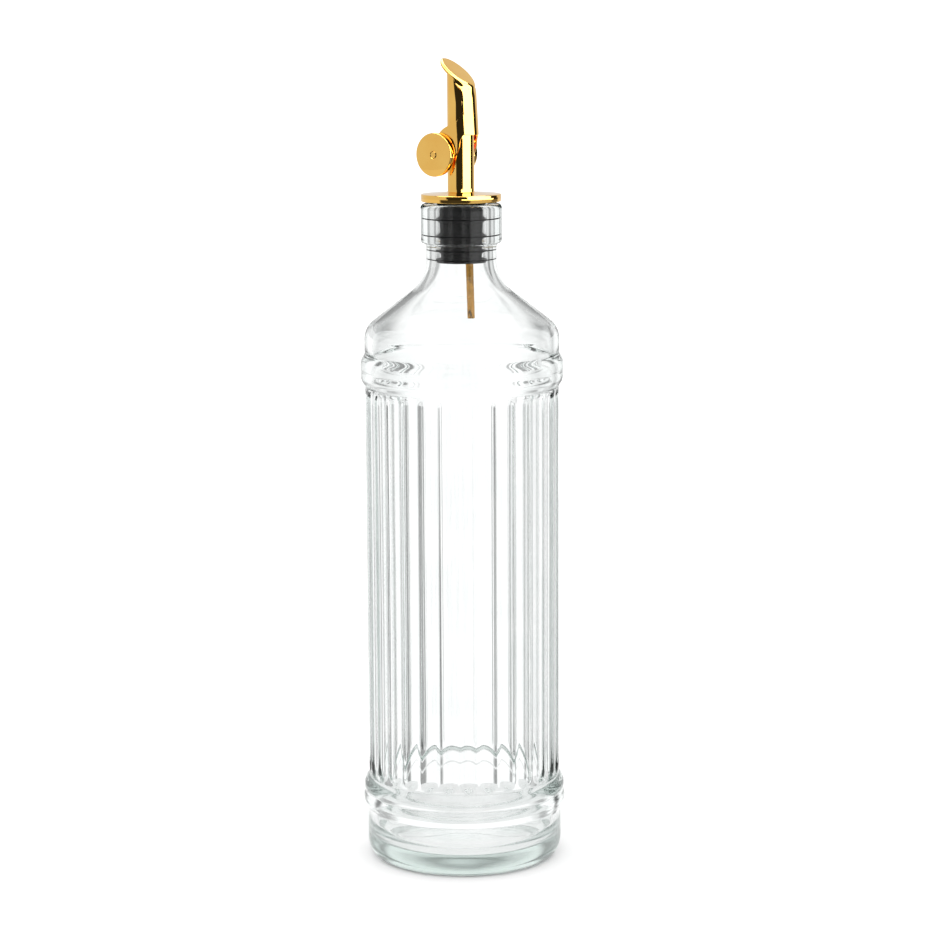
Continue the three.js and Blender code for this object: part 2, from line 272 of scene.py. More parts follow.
@dataclass(frozen=True)
class GoldPlating:
    """Brass and steel plated with gold-coloured metal.

    Attributes:
        name: The material's name.
        warm: The redder of its two tones.
        light: The paler of its two tones.
        smudge_mm: Size of the faint dulled patches.
        roughness_low: Roughness of the cleanest spots.
        roughness_high: Roughness of the dulled spots.
    """

    name: str = "polished_gold_plating"
    warm: str = "#F2BE62"
    light: str = "#F6C76C"
    smudge_mm: float = 9.0
    roughness_low: float = 0.02
    roughness_high: float = 0.045

    def material(self) -> bpy.types.Material:
        """Builds the gold plating.

        Returns:
            The material.
        """
        # Buffed before plating: mirror-like, with hard-edged reflections of the lights and dark cards.
        # The breather tube's copy isn't buffed, so it is a little rougher; its darker, browner tones are
        # painted shade for the dim neck inside the glass.
        material, tree, output = new_material(self.name)
        smudges = object_noise(tree, self.smudge_mm, 2.0)
        tone = add_node(tree, "ShaderNodeValToRGB", {"Fac": smudges.outputs["Fac"]})
        set_ramp(tone, [(0.3, srgb(self.warm)), (0.7, srgb(self.light))])
        roughness = add_node(
            tree, "ShaderNodeMapRange",
            {
                "Value": smudges.outputs["Fac"],
                "To Min": self.roughness_low, "To Max": self.roughness_high,
            },
        )
        shader = add_node(
            tree, "ShaderNodeBsdfPrincipled",
            {"Base Color": tone.outputs["Color"], "Roughness": roughness.outputs["Result"], "Metallic": 1.0},
        )
        tree.links.new(shader.outputs["BSDF"], output.inputs["Surface"])
        return material


@dataclass(frozen=True)
class MouldedRubber:
    """Black food-grade rubber, injection moulded.

    Attributes:
        deep: The darker tone.
        worn: The lighter tone of handled patches.
        patch_mm: Size of those patches.
        grain_mm: Grain that the mould leaves.
        grain_height_mm: Height of that grain.
    """

    deep: str = "#171718"
    worn: str = "#232324"
    patch_mm: float = 4.0
    grain_mm: float = 0.35
    grain_height_mm: float = 0.012

    def material(self) -> bpy.types.Material:
        """Builds the black rubber.

        Returns:
            The material.
        """
        # Moulded against fine-blasted steel: satin, nearly black, with soft broad highlights.
        material, tree, output = new_material("moulded_black_rubber")
        patches = object_noise(tree, self.patch_mm, 2.0)
        tone = add_node(tree, "ShaderNodeValToRGB", {"Fac": patches.outputs["Fac"]})
        set_ramp(tone, [(0.35, srgb(self.deep)), (0.65, srgb(self.worn))])
        roughness = add_node(
            tree, "ShaderNodeMapRange", {"Value": patches.outputs["Fac"], "To Min": 0.55, "To Max": 0.7},
        )
        grain = object_noise(tree, self.grain_mm, 1.0)
        bump = add_node(
            tree, "ShaderNodeBump",
            {"Height": grain.outputs["Fac"], "Strength": 1.0, "Distance": self.grain_height_mm * MM},
        )
        shader = add_node(
            tree, "ShaderNodeBsdfPrincipled",
            {
                "Base Color": tone.outputs["Color"], "Roughness": roughness.outputs["Result"],
                "Normal": bump.outputs["Normal"], "Specular IOR Level": 0.1,
            },
        )
        tree.links.new(shader.outputs["BSDF"], output.inputs["Surface"])
        return material


@dataclass(frozen=True)
class Finishes:
    """The finished materials that the pieces share."""

    glass: bpy.types.Material
    gold: bpy.types.Material
    # the breather tube's gold: a darker, browner copy whose colour is painted shade
    shaded_tube_gold: bpy.types.Material
    rubber: bpy.types.Material


def arc(centre: Point, radii: Point, start: float, end: float, steps: int) -> list[Point]:
    """Points along part of an ellipse in the plane of a profile.

    Args:
        centre: Radius and height of the middle.
        radii: Half widths outwards and upwards.
        start: First angle in degrees, from the outward direction.
        end: Last angle in degrees.
        steps: Number of steps between them.

    Returns:
        The points.
    """
    angles = np.radians(np.linspace(start, end, steps + 1))
    return [(centre[0] + radii[0] * math.cos(a), centre[1] + radii[1] * math.sin(a)) for a in angles]


def curve(start: Point, pull: Point, end: Point, steps: int) -> list[Point]:
    """Points along a quadratic curve.

    Args:
        start: First point.
        pull: Control point.
        end: Last point.
        steps: Number of steps.

    Returns:
        The points, both ends included.
    """
    shares = np.linspace(0, 1, steps + 1)
    return [
        tuple((1 - t) ** 2 * start[i] + 2 * t * (1 - t) * pull[i] + t * t * end[i] for i in (0, 1))
        for t in shares
    ]


def turn(bm: bmesh.types.BMesh, profile: Sequence[Point], steps: int, closed: bool = False) -> None:
    """Turns a profile about the Z axis into a closed shell.

    Args:
        bm: The mesh that gets the shell.
        profile: Radius and height of each point, in millimetres.
        steps: Number of steps of the full turn.
        closed: Whether the last point joins the first, as on a ring.
    """
    verts = [bm.verts.new((radius * MM, 0, height * MM)) for radius, height in profile]
    pairs = list(zip(verts, verts[1:])) + ([(verts[-1], verts[0])] if closed else [])
    edges = [bm.edges.new(pair) for pair in pairs]
    bmesh.ops.spin(
        bm, geom=verts + edges, cent=(0, 0, 0), axis=(0, 0, 1), dvec=(0, 0, 0),
        angle=math.tau, steps=steps, use_merge=True, use_normal_flip=False, use_duplicate=False,
    )
    bmesh.ops.remove_doubles(bm, verts=bm.verts, dist=1e-7)
    bmesh.ops.recalc_face_normals(bm, faces=bm.faces)


def soften(bm: bmesh.types.BMesh, width: float, segments: int = 3, over: float = 35) -> None:
    """Bevels every edge that turns sharply.

    Args:
        bm: The mesh.
        width: Bevel width in millimetres.
        segments: Number of segments.
        over: Least angle in degrees between the faces of an edge.
    """
    sharp = [e for e in bm.edges if len(e.link_faces) == 2 and e.calc_face_angle(0) > math.radians(over)]
    bmesh.ops.bevel(
        bm, geom=sharp, offset=width * MM, segments=segments, profile=0.5, affect="EDGES",
        material=-1, clamp_overlap=True,
    )


def piece(
    name: str, bm: bmesh.types.BMesh, material: bpy.types.Material, body: Body,
    nodes: Sequence[str], sharp: float = 40,
) -> bpy.types.Object:
    """Makes an object of a mesh, dresses it and fixes it to its body.

    Args:
        name: The object's name.
        bm: The mesh, which is freed.
        material: Its finish.
        body: The body it rides on.
        nodes: The solids that it stands for.
        sharp: Angle in degrees over which an edge is shaded hard.

    Returns:
        The object.
    """
    obj = new_object(name, bm, material)
    obj.data.shade_smooth()
    obj.data.set_sharp_from_angle(angle=math.radians(sharp))
    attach(obj, body.value)
    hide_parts(*nodes)
    LOG.info("%s: %d faces", name, len(obj.data.polygons))
    return obj


@dataclass(frozen=True)
class DoubleBand:
    """Two rounded bands round the bottle with a groove between them.

    Attributes:
        low: Height of the lower edge.
        groove: Height of the groove.
        high: Height of the upper edge.
        root_low: Radius under the lower band.
        root_high: Radius over the upper band.
        crest_low: Radius of the lower crest.
        crest_high: Radius of the upper crest.
        groove_radius: Radius in the groove.
        run_in: Angle on a band, in degrees from its crest, where it starts to run into the wall.
        fillet: Height of that run beyond the band.
    """

    low: float
    groove: float
    high: float
    root_low: float
    root_high: float
    crest_low: float
    crest_high: float
    groove_radius: float
    run_in: float = 54.0
    fillet: float = 1.15

    def points(self, steps: int = 7, fillet_steps: int = 5) -> list[Point]:
        """The bands' side of the profile, upwards.

        Args:
            steps: Steps along each band.
            fillet_steps: Steps along each run into the wall.

        Returns:
            The points.
        """
        rise_low = self.crest_low - self.root_low
        rise_high = self.crest_high - self.root_high
        reach_low = math.sqrt(1 - ((self.groove_radius - self.root_low) / rise_low) ** 2)
        reach_high = math.sqrt(1 - ((self.groove_radius - self.root_high) / rise_high) ** 2)
        half_low = (self.groove - self.low) / (1 + reach_low)
        half_high = (self.high - self.groove) / (1 + reach_high)
        low = arc(
            (self.root_low, self.low + half_low), (rise_low, half_low),
            -self.run_in, math.degrees(math.asin(reach_low)), steps,
        )
        high = arc(
            (self.root_high, self.high - half_high), (rise_high, half_high),
            -math.degrees(math.asin(reach_high)), self.run_in, steps,
        )
        past = 1 / math.sin(math.radians(self.run_in)) - 1
        start = curve(
            (self.root_low, self.low - self.fillet), (self.root_low, self.low - past * half_low),
            low[0], fillet_steps,
        )
        end = curve(
            high[-1], (self.root_high, self.high + past * half_high),
            (self.root_high, self.high + self.fillet), fillet_steps,
        )
        return start + low[1:] + high[1:] + end[1:]


@dataclass
class GlassBody:
    """The bottle: fluted barrel between two double bands, shoulder, neck and lip, hollow inside.

    Flutes are what a round-ended rod leaves when it is pressed sideways into the wall. Columns are
    counted per flute, and crowded at the ridges. The inner wall's waves have a height in millimetres
    and rates per metre, and fade out at both ends of the wall.
    """

    radius: float = 36.5
    flutes: int = 30
    flute_depth: float = 0.8
    land: float = 0.6
    flute_low: float = 33.0
    flute_high: float = 181.0
    ridge_angle: float = 3.4
    ridge_round: float = 0.2
    columns: int = 16
    crowd: float = 0.55
    inner_radius: float = 33.5
    bore: float = 9.6
    lip_radius: float = 15.2
    lip_high: float = 249.8
    core_radius: float = 34.9
    wall_wave: float = 0.16
    wave_across: float = 45.0
    wave_along: float = 14.0
    wave_low: float = 9.0
    wave_high: float = 205.0
    wave_fade: float = 14.0
    wave_from: float = 24.0
    lower: DoubleBand = DoubleBand(
        low=20.2, groove=25.6, high=30.9, root_low=37.2, root_high=36.4, crest_low=38.7,
        crest_high=38.4, groove_radius=38.1,
    )
    upper: DoubleBand = DoubleBand(
        low=182.3, groove=187.2, high=192.9, root_low=36.4, root_high=36.65, crest_low=38.1,
        crest_high=38.2, groove_radius=37.9,
    )

    def __post_init__(self) -> None:
        """Works out the rod that would press one flute, and where the flutes run straight."""
        self.pitch = math.tau / self.flutes
        self.half_chord = self.radius * math.sin(self.pitch / 2) - self.land / 2
        self.rod = (self.half_chord**2 + self.flute_depth**2) / (2 * self.flute_depth)
        self.rod_distance = self.radius + self.rod - self.flute_depth
        self.low_straight = self.flute_low + self.half_chord
        self.high_straight = self.flute_high - self.half_chord

    def outside(self) -> list[Point]:
        """Lays out the outer half of the profile.

        Returns:
            Points from the middle of the base up to the mouth.
        """
        ends = self.half_chord * np.cos(np.radians(np.linspace(0, 90, 10)))
        middle = np.linspace(self.low_straight, self.high_straight, 5)[1:-1]
        return [
            (0, 2.4), (9, 2.25), (18, 1.8), (25, 1.2), (28.5, 0.8), (29.7, 0.35),
            *arc((30.9, 0.7), (1.0, 0.7), -130, -90, 3), (33.0, 0),
            *arc((33.0, 7.5), (4.2, 7.5), -90, 0, 10)[1:], (37.2, 13.5),
            *self.lower.points(),
            *[(self.radius, self.low_straight - past) for past in ends],
            *[(self.radius, height) for height in middle],
            *[(self.radius, self.high_straight + past) for past in ends[::-1]],
            *self.upper.points(),
            (36.65, 197.0), *arc((28.15, 199.3), (8.5, 8.5), 0, 52, 9),
            (32.79, 206.46), (26.0, 211.72), (19.16, 217.0),
            *curve((18.5, 217.5), (13.5, 221.7), (13.2, 228.5), 10),
            (13.2, 229.2), (13.2, 232.6), *curve((13.2, 233.4), (13.2, 235.0), (14.4, 235.2), 4),
            *curve((14.7, 235.3), (15.2, 235.6), (self.lip_radius, 236.6), 4),
            (self.lip_radius, 237.0), (self.lip_radius, 242.0), (self.lip_radius, self.lip_high - 2.0),
            *arc((self.lip_radius - 1.6, self.lip_high - 1.6), (1.6, 1.6), 0, 90, 7),
            *arc((self.bore + 1.0, self.lip_high - 0.9), (1.0, 0.9), 90, 180, 5),
        ]

    def inside(self) -> list[Point]:
        """Lays out the inner half of the profile.

        Returns:
            Points from the mouth down to the middle of the floor.
        """
        wall = np.linspace(199.3, 14.8, 17)
        return [
            (self.bore, self.lip_high - 1.3), (self.bore, 240), (self.bore, 229.5), (self.bore, 229),
            *curve((self.bore, 228.6), (10.6, 220.4), (16.9, 215.4), 9)[1:],
            (21.6, 211.7), (26.4, 207.9),
            *arc((self.inner_radius - 6.4, 199.3), (6.4, 6.4), 52, 0, 10),
            *[(self.inner_radius, height) for height in wall[1:-1]],
            *arc((self.inner_radius - 8, 14.8), (8, 8), 0, -90, 9),
            (19, 7.05), (12, 7.5), (6, 8.0), (0, 8.2),
        ]

    def flute(self, angle: float, past_end: float) -> float:
        """Works out the barrel's radius in a flute.

        Args:
            angle: Angle from the flute's middle line, in radians.
            past_end: Height past the straight part of the flute.

        Returns:
            The radius, with the ridges rounded.
        """
        span = self.rod**2 - past_end**2 - (self.rod_distance * math.sin(angle)) ** 2
        if span <= 0:
            return self.radius
        pressed = self.rod_distance * math.cos(angle) - math.sqrt(span)
        gap = max(self.ridge_round - abs(self.radius - pressed), 0) / self.ridge_round
        return min(self.radius, pressed) - self.ridge_round * gap * gap / 4

    def press(self, bm: bmesh.types.BMesh) -> None:
        """Crowds the columns at the ridges and presses the flutes into the barrel.

        Args:
            bm: The turned bottle.
        """
        for vert in bm.verts:
            x, y, z = (value / MM for value in vert.co)
            radius = math.hypot(x, y)
            if radius < 1e-6:
                continue
            turns = math.atan2(y, x) / self.pitch
            share = turns - self.crowd * math.sin(math.tau * turns) / math.tau
            angle = share * self.pitch
            if radius > self.core_radius and self.flute_low <= z <= self.flute_high:
                past_end = max(self.low_straight - z, z - self.high_straight, 0)
                radius = self.flute((share - math.floor(share) - 0.5) * self.pitch, past_end)
            angle += math.radians(self.ridge_angle)
            vert.co.x = radius * math.cos(angle) * MM
            vert.co.y = radius * math.sin(angle) * MM

    def wave(self, bm: bmesh.types.BMesh) -> None:
        """Gives the inner wall the soft unevenness of blown glass.

        Args:
            bm: The pressed bottle.
        """
        for vert in bm.verts:
            radius = math.hypot(vert.co.x, vert.co.y) / MM
            height = vert.co.z / MM
            in_wall = self.wave_from < radius < self.core_radius - 0.6
            if in_wall and self.wave_low < height < self.wave_high:
                place = Vector((
                    vert.co.x * self.wave_across, vert.co.y * self.wave_across, vert.co.z * self.wave_along,
                ))
                rise = min(max((height - self.wave_low) / self.wave_fade, 0), 1)
                fall = min(max((self.wave_high - height) / self.wave_fade, 0), 1)
                shift = self.wall_wave * (rise * fall) * noise.noise(place)
                vert.co.x *= 1 + shift / radius
                vert.co.y *= 1 + shift / radius

    def build(self, finishes: Finishes) -> bpy.types.Object:
        """Builds the glass.

        Args:
            finishes: The materials.

        Returns:
            The bottle.
        """
        bm = bmesh.new()
        turn(bm, self.outside() + self.inside(), self.flutes * self.columns)
        self.press(bm)
        self.wave(bm)
        return piece("bottle_glass", bm, finishes.glass, Body.BOTTLE, ["glass_bottle"], 60)


@dataclass
class Stopper:
    """The rubber plug: a tapered core with thin sealing fins that press on the bore, and a foot."""

    low: float = 228.0
    high: float = 250.6
    core_low: float = 7.6
    core_high: float = 8.2
    bore: float = 9.6
    press: float = 0.06
    fin_heights: tuple[float, ...] = (232.6, 238.0, 244.2)
    fin_half: float = 0.3
    fin_root: float = 1.35
    foot: float = 1.4

    def core(self, height: float) -> float:
        """Works out the core's radius.

        Args:
            height: A height on the core.

        Returns:
            The radius there.
        """
        share = (height - self.low) / (self.high - self.low)
        return self.core_low + (self.core_high - self.core_low) * share

    def fin(self, height: float) -> list[Point]:
        """Lays out the profile of one fin, its rim pressed just into the glass.

        Args:
            height: Height of the fin's middle.

        Returns:
            The points, upwards.
        """
        rim = self.bore + self.press
        return [
            (self.core(height) + 0.02, height - self.fin_root),
            (self.core(height) + 0.8, height - self.fin_half - 0.3),
            (rim - 0.12, height - self.fin_half), (rim, height - self.fin_half + 0.12),
            (rim, height + self.fin_half - 0.12), (rim - 0.12, height + self.fin_half),
            (self.core(height) + 0.8, height + self.fin_half + 0.3),
            (self.core(height) + 0.02, height + self.fin_root),
        ]

    def build(self, finishes: Finishes) -> bpy.types.Object:
        """Builds the stopper.

        Args:
            finishes: The materials.

        Returns:
            The stopper.
        """
        foot_top = self.low + self.foot
        rim = self.bore + self.press
        profile = [
            (0, self.low), (8.4, self.low), (9.0, self.low + 0.2), (9.3, self.low + 0.6),
            (rim, foot_top - 0.45), (rim, foot_top - 0.15), (rim - 0.15, foot_top),
            (self.core(foot_top) + 0.3, foot_top + 0.1), (self.core(foot_top), foot_top + 0.5),
            *[point for height in self.fin_heights for point in self.fin(height)],
            (self.core_high, self.high - 2), (9.2, self.high - 1.25), (9.2, self.high), (0, self.high),
        ]
        bm = bmesh.new()
        turn(bm, profile, 128)
        return piece("neck_stopper", bm, finishes.rubber, Body.BOTTLE, ["rubber_stopper"])


@dataclass
class Breather:
    """The thin tube that lets air in, leaning out a little on its way down."""

    outer: float = 1.4
    inner: float = 0.9
    top_x: float = 2.75
    top: float = 254.0
    end_x: float = 4.4
    end: float = 206.0

    def build(self, finishes: Finishes) -> bpy.types.Object:
        """Builds the breather tube.

        Args:
            finishes: The materials.

        Returns:
            The tube.
        """
        lean = math.atan((self.end_x - self.top_x) / (self.top - self.end))
        length = (self.top - self.end) / math.cos(lean)
        ring = [(self.inner, -length), (self.outer, -length), (self.outer, 0), (self.inner, 0)]
        bm = bmesh.new()
        turn(bm, ring, 40, closed=True)
        soften(bm, 0.12, 2)
        place = Matrix.Translation((self.top_x * MM, 0, self.top * MM)) @ Matrix.Rotation(-lean, 4, "Y")
        bmesh.ops.transform(bm, matrix=place, verts=bm.verts)
        # Its plating is the darker gold copy, painted shade for the dim neck.
        return piece("air_tube", bm, finishes.shaded_tube_gold, Body.BOTTLE, ["breather_tube"])


@dataclass
class Flange:
    """The gold disc over the stopper, with rounded edges and a slight crown."""

    radius: float = 15.0
    low: float = 250.62
    high: float = 253.4
    crown: float = 254.0
    hole: float = 4.9
    edge: float = 0.35

    def build(self, finishes: Finishes) -> bpy.types.Object:
        """Builds the flange.

        Args:
            finishes: The materials.

        Returns:
            The flange.
        """
        outer = self.radius - self.edge
        ring = [
            (self.hole, self.low), (outer, self.low),
            *arc((outer, self.low + self.edge), (self.edge, self.edge), -90, 0, 4)[1:],
            *arc((outer, self.high - self.edge), (self.edge, self.edge), 0, 90, 5),
            (outer - 3.5, self.high + 0.16), (8.5, self.crown - 0.2), (self.hole + 0.6, self.crown),
            (self.hole, self.crown + 0.25),
        ]
        bm = bmesh.new()
        turn(bm, ring, 160, closed=True)
        return piece("pourer_disc", bm, finishes.gold, Body.BOTTLE, ["spout_flange"])


@dataclass
class Spout:
    """The straight tube with its slanted mouth, and the two pins that the flap turns on."""

    outer: float = 5.0
    inner: float = 4.4
    low: float = 251.2
    slant: float = 37.0
    top_at_axis: float = 297.9
    mouth_below: float = 1.1
    edge: float = 0.12
    pivot_x: float = 0.8
    pivot_z: float = 272.4
    pin_radius: float = 1.4
    pin_inner: float = 4.6
    pin_outer: float = 5.95

    def mouth_height(self, x: float, below: float) -> float:
        """Works out the height of a plane parallel to the mouth.

        Args:
            x: Place along X.
            below: How far the plane lies below the lid's top.

        Returns:
            The height.
        """
        slope = math.radians(self.slant)
        return self.top_at_axis - below / math.cos(slope) - math.tan(slope) * x

    def build(self, finishes: Finishes) -> bpy.types.Object:
        """Builds the spout.

        Args:
            finishes: The materials.

        Returns:
            The spout.
        """
        rows = np.linspace(self.low, 296.0, 6)
        ring = [(self.inner, rows[0]), *[(self.outer, z) for z in rows[:-1]], (self.outer, 299.0),
                (self.outer - self.edge, 300.0), (self.inner + self.edge, 300.0),
                (self.inner, 299.0), (self.inner, rows[-2])]
        bm = bmesh.new()
        turn(bm, ring, 144, closed=True)
        for vert in bm.verts:
            height = vert.co.z / MM
            if height > 299.5:
                vert.co.z = self.mouth_height(vert.co.x / MM, self.mouth_below) * MM
            elif height > 298:
                vert.co.z = self.mouth_height(vert.co.x / MM, self.mouth_below + self.edge) * MM
        for side in (-1, 1):
            pin = bmesh.ops.create_cone(
                bm, cap_ends=True, segments=40, radius1=self.pin_radius * MM, radius2=self.pin_radius * MM,
                depth=(self.pin_outer - self.pin_inner) * MM,
            )
            ends = (e for v in pin["verts"] for e in v.link_edges if e.calc_face_angle(0) > 1)
            rim = list(dict.fromkeys(ends))
            middle = side * (self.pin_outer + self.pin_inner) / 2
            place = Matrix.Translation((self.pivot_x * MM, middle * MM, self.pivot_z * MM))
            bmesh.ops.transform(bm, matrix=place @ Matrix.Rotation(math.pi / 2, 4, "X"), verts=pin["verts"])
            bmesh.ops.bevel(
                bm, geom=rim, offset=0.15 * MM, segments=3, profile=0.5, affect="EDGES", material=-1,
            )
        return piece("spout", bm, finishes.gold, Body.BOTTLE, ["spout_tube"], 50)


@dataclass
class FlapSheet:
    """One bent sheet: the slanted lid with its turned-down rim, the shell and the two arms."""

    lid_x: float = -1.2
    lid_long: float = 6.8
    lid_wide: float = 5.7
    top_at_axis: float = 297.9
    slant: float = 37.0
    bend: float = 1.05
    rim: float = 0.45
    shell: float = 6.0
    axis_x: float = -0.1
    axis_top: float = 291.0
    lean: float = 3.8
    thick: float = 0.55
    columns: int = 96
    shell_columns: int = 19
    foot_column: int = 6
    settle: float = 3.0
    foot: float = 275.4
    lowest: float = 263.62

    def __post_init__(self) -> None:
        """Lays out the sheet's two side-view edges once."""
        self.outer_line = self.outer_edge()
        self.inner_line = self.inner_edge()

    def axis(self, z: float) -> float:
        """Works out where the leaning shell's axis is.

        Args:
            z: A height.

        Returns:
            Its X there.
        """
        return self.axis_x + (self.axis_top - z) * math.tan(math.radians(self.lean))

    def lid_height(self, x: float) -> float:
        """Works out the height of the lid's top plane.

        Args:
            x: Place along X.

        Returns:
            The height.
        """
        return self.top_at_axis - math.tan(math.radians(self.slant)) * x

    def developed(self, x: float, z: float) -> float:
        """Measures along the unrolled sheet, from its back line to a point of the side view.

        Args:
            x: The point's X.
            z: The point's height.

        Returns:
            The length.
        """
        ahead = (x - self.axis(z)) / self.shell
        if ahead >= 0:
            return self.shell * math.acos(min(ahead, 1.0))
        return self.shell * (math.pi / 2 - ahead)

    def outer_edge(self) -> list[Point]:
        """Draws the sheet's front edge in side view.

        Returns:
            Points from under the lid down round the arm's end.
        """
        return [
            *curve((1.8, 295.2), (4.1, 292.5), (4.3, 288.0), 10),
            *curve((4.3, 288.0), (4.4, 284.6), (3.7, 282.4), 8)[1:],
            *curve((3.7, 282.4), (2.6, 280.0), (-0.6, 279.0), 10)[1:],
            *curve((-0.6, 279.0), (-3.4, 278.2), (-5.1, 276.4), 6)[1:],
            *arc((-6.5, 268.0), (4.4, 4.4), 130, 270, 24),
        ]

    def inner_edge(self) -> list[Point]:
        """Draws the sheet's back edge below the shell's foot, in side view.

        Returns:
            Points downwards.
        """
        return [
            *curve((5.0, 275.4), (3.8, 275.0), (3.4, 271.0), 8),
            *curve((3.4, 271.0), (2.4, 267.6), (-0.6, 266.6), 8)[1:],
            (-5.36, 263.75), (-6.5, 263.6),
        ]

    def edge_length(self, edge: Sequence[Point], z: float) -> float:
        """Measures how far along the unrolled sheet an edge crosses a height.

        Args:
            edge: The edge in side view, downwards.
            z: The height.

        Returns:
            The length.
        """
        heights = [-point[1] for point in edge]
        x = float(np.interp(-z, heights, [point[0] for point in edge]))
        return self.developed(x, z)

    def on_shell(self, length: float, side: float, z: float) -> Vector:
        """Places a point of the unrolled sheet on the bent one.

        Args:
            length: Its length from the back line.
            side: -1 for the near side, 1 for the far one.
            z: Its height.

        Returns:
            The point in millimetres.
        """
        angle = length / self.shell
        if angle <= math.pi / 2:
            x = self.axis(z) + self.shell * math.cos(angle)
            return Vector((x, side * self.shell * math.sin(angle), z))
        return Vector((self.axis(z) - (length - self.shell * math.pi / 2), side * self.shell, z))

    def lid_rows(self) -> list[tuple[float, float]]:
        """Lays out the rings of the lid.

        Returns:
            Share of the flat lid and angle of the bend in degrees, for each ring.
        """
        flat = [(share, 0.0) for share in (0.25, 0.5, 0.75, 0.9)]
        return flat + [(1.0, angle) for angle in (0, 15, 30, 45, 60, 75, 90)]

    def lid_point(self, angle: float, share: float, bend_angle: float, drop: float) -> Vector:
        """A point of the lid or of its turned-down rim.

        Args:
            angle: Angle round the lid from the back, in radians.
            share: Share of the way from the lid's middle to its bend.
            bend_angle: How far round the bend, in degrees.
            drop: Length below the bend.

        Returns:
            The point in millimetres.
        """
        out = self.bend * math.sin(math.radians(bend_angle))
        down = self.bend * (1 - math.cos(math.radians(bend_angle)))
        x = self.lid_x + ((self.lid_long - self.bend) * share + out) * math.cos(angle)
        y = ((self.lid_wide - self.bend) * share + out) * math.sin(angle)
        return Vector((x, y, self.lid_height(x) - down - drop))

    def shell_levels(self) -> list[tuple[float, float]]:
        """Lays out the rows under the lid's rim.

        Returns:
            Height of each row, and how far it still follows the slant of the rim.
        """
        top = list(zip(np.linspace(292.6, 287.5, 9), np.linspace(0.88, 0.0, 9)))
        levels = [286.5, 285.5, 284.5, 283.7, 283.0]
        levels += list(np.arange(282.5, 279.2, -0.4)) + list(np.arange(279.0, 276.2, -0.25))
        levels += [275.9, self.foot] + list(np.arange(274.8, 266.0, -0.55))
        levels += list(np.linspace(265.8, self.lowest, 8))
        return top + [(level, 0.0) for level in levels]

    def shell_point(self, column: int, level: float, slant: float) -> Vector:
        """A point of the shell or of an arm.

        Args:
            column: Column number, zero at the back.
            level: The row's height.
            slant: How far the row follows the lid's rim.

        Returns:
            The point in millimetres.
        """
        angle = math.tau * column / self.columns
        side = -1.0 if column < 0 else 1.0
        rim = self.lid_point(angle, 1.0, 90.0, self.rim)
        corner = self.lid_point(math.tau * self.shell_columns / self.columns, 1.0, 90.0, self.rim)
        z = level * (1 - slant) + rim.z * slant
        edge_z = level * (1 - slant) + corner.z * slant
        outer = self.edge_length(self.outer_line, edge_z)
        share = abs(column) / self.shell_columns
        if level >= self.foot - 1e-6:
            length = outer * share
        else:
            inner = self.edge_length(self.inner_line, edge_z)
            part = (abs(column) - self.foot_column) / (self.shell_columns - self.foot_column)
            length = inner + (outer - inner) * part
        bent = self.on_shell(length, side, z)
        left = min(max((rim.z - z) / self.settle, 0.0), 1.0)
        blend = left * left * (3 - 2 * left)
        return Vector((rim.x, rim.y, z)).lerp(bent, blend)

    def mesh(self) -> bmesh.types.BMesh:
        """Builds the thin sheet from one turned grid, its rings laid where the real sheet runs.

        Returns:
            The mesh.
        """
        lid_rows = self.lid_rows()
        levels = self.shell_levels()
        rows = len(lid_rows) + 1 + len(levels)
        bm = bmesh.new()
        turn(bm, [(0, 0), *[(row + 1.0, -float(row)) for row in range(rows)]], self.columns)
        centre = self.lid_point(0, 0, 0, 0)
        centre.x = self.lid_x
        centre.z = self.lid_height(self.lid_x)
        spare = []
        for vert in bm.verts:
            ring = round(math.hypot(vert.co.x, vert.co.y) / MM) - 1
            column = round(math.atan2(vert.co.y, vert.co.x) * self.columns / math.tau)
            if ring < 0:
                place = centre
            elif ring <= len(lid_rows):
                angle = math.tau * column / self.columns
                share, bend_angle = lid_rows[min(ring, len(lid_rows) - 1)]
                place = self.lid_point(angle, share, bend_angle, self.rim if ring == len(lid_rows) else 0)
            else:
                level, slant = levels[ring - len(lid_rows) - 1]
                below = level < self.foot - 1e-6
                if abs(column) > self.shell_columns or (below and abs(column) < self.foot_column):
                    spare.append(vert)
                    continue
                place = self.shell_point(column, level, slant)
            vert.co = place * MM
        bmesh.ops.delete(bm, geom=spare, context="VERTS")
        bmesh.ops.recalc_face_normals(bm, faces=bm.faces)
        if sum(face.normal.z * face.calc_area() for face in bm.faces) < 0:
            bmesh.ops.reverse_faces(bm, faces=bm.faces)
        return bm

    def build(self, finishes: Finishes) -> bpy.types.Object:
        """Builds the flap.

        Args:
            finishes: The materials.

        Returns:
            The flap.
        """
        obj = piece("flap_sheet", self.mesh(), finishes.gold, Body.FLAP, ["flap"], 45)
        wall = obj.modifiers.new("sheet thickness", "SOLIDIFY")
        wall.thickness = self.thick * MM
        wall.offset = -1
        wall.use_even_offset = False
        edge = obj.modifiers.new("deburred edge", "BEVEL")
        edge.width = 0.12 * MM
        edge.segments = 2
        edge.limit_method = "ANGLE"
        edge.angle_limit = math.radians(50)
        return obj


